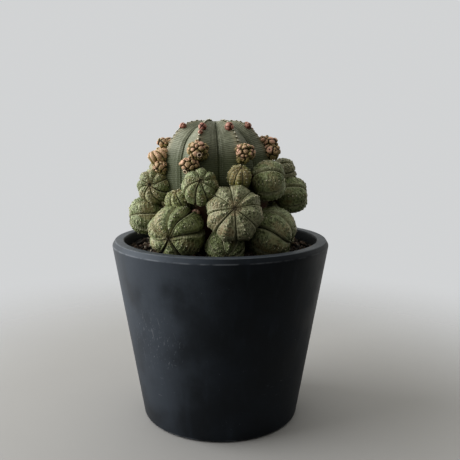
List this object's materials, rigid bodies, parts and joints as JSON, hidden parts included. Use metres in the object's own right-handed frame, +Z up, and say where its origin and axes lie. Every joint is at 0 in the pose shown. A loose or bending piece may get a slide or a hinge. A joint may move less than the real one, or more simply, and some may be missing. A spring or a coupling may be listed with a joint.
{
  "type": "potted euphorbia",
  "caption": "Ribbed globe-shaped succulent euphorbia with chains of round offsets down its ribs, growing in gritty soil in a plain tapered charcoal pot that stands on a surface",
  "frame": {"origin": "centre of the pot's underside, on the surface that it stands on", "axes": "+Z up, -Y the front of the plant as it is usually seen, +X to its right"},
  "size_m": [0.105, 0.105, 0.1451],
  "materials": {
    "pot_charcoal": "unglazed matt charcoal, faintly streaked and scuffed",
    "gritty_soil": "dark damp gritty mix with a few paler crumbs",
    "stem_skin": "grey-green waxy skin with fine cross bands and stitch-like scars on the ribs",
    "offset_skin": "olive green waxy skin with fine wrinkles and pale dots on the ribs",
    "knot_skin": "pinkish tan, bumpy with spent flower heads",
    "bud_pink": "dull pink-red"
  },
  "bodies": {
    "root": {"back_left_bud": "bud_pink", "back_left_knot": "knot_skin", "back_left_pup_base": "offset_skin", "back_left_pup_large": "offset_skin", "back_left_pup_upper": "offset_skin", "back_right_bud": "bud_pink", "back_right_knot_lower": "knot_skin", "back_right_knot_upper": "knot_skin", "back_right_pup_base": "offset_skin", "back_right_pup_middle": "offset_skin", "back_right_pup_upper": "offset_skin", "front_left_bud": "bud_pink", "front_left_knot_lower": "knot_skin", "front_left_knot_upper": "knot_skin", "front_left_pup_large": "offset_skin", "front_left_pup_small": "offset_skin", "front_left_pup_upper": "offset_skin", "front_pup_base": "offset_skin", "front_right_bud": "bud_pink", "front_right_knot": "knot_skin", "front_right_pup_large": "offset_skin", "front_right_pup_small": "offset_skin", "left_back_bud": "bud_pink", "left_back_knot_lower": "knot_skin", "left_back_knot_upper": "knot_skin", "left_back_pup_low": "offset_skin", "left_back_pup_upper": "offset_skin", "left_front_bud": "bud_pink", "left_front_knot_lower": "knot_skin", "left_front_knot_top": "knot_skin", "left_front_knot_upper": "knot_skin", "left_front_pup_low": "offset_skin", "left_front_pup_upper": "offset_skin", "main_stem": "stem_skin", "pot": "pot_charcoal", "right_back_bud": "bud_pink", "right_back_knot": "knot_skin", "right_back_pup_low": "offset_skin", "right_back_pup_middle": "offset_skin", "right_back_pup_upper": "offset_skin", "right_front_bud": "bud_pink", "right_front_knot_lower": "knot_skin", "right_front_knot_top": "knot_skin", "right_front_knot_upper": "knot_skin", "right_front_pup_large": "offset_skin", "right_front_pup_low": "offset_skin", "right_front_pup_upper": "offset_skin", "soil": "gritty_soil"}
  },
  "joints": []
}
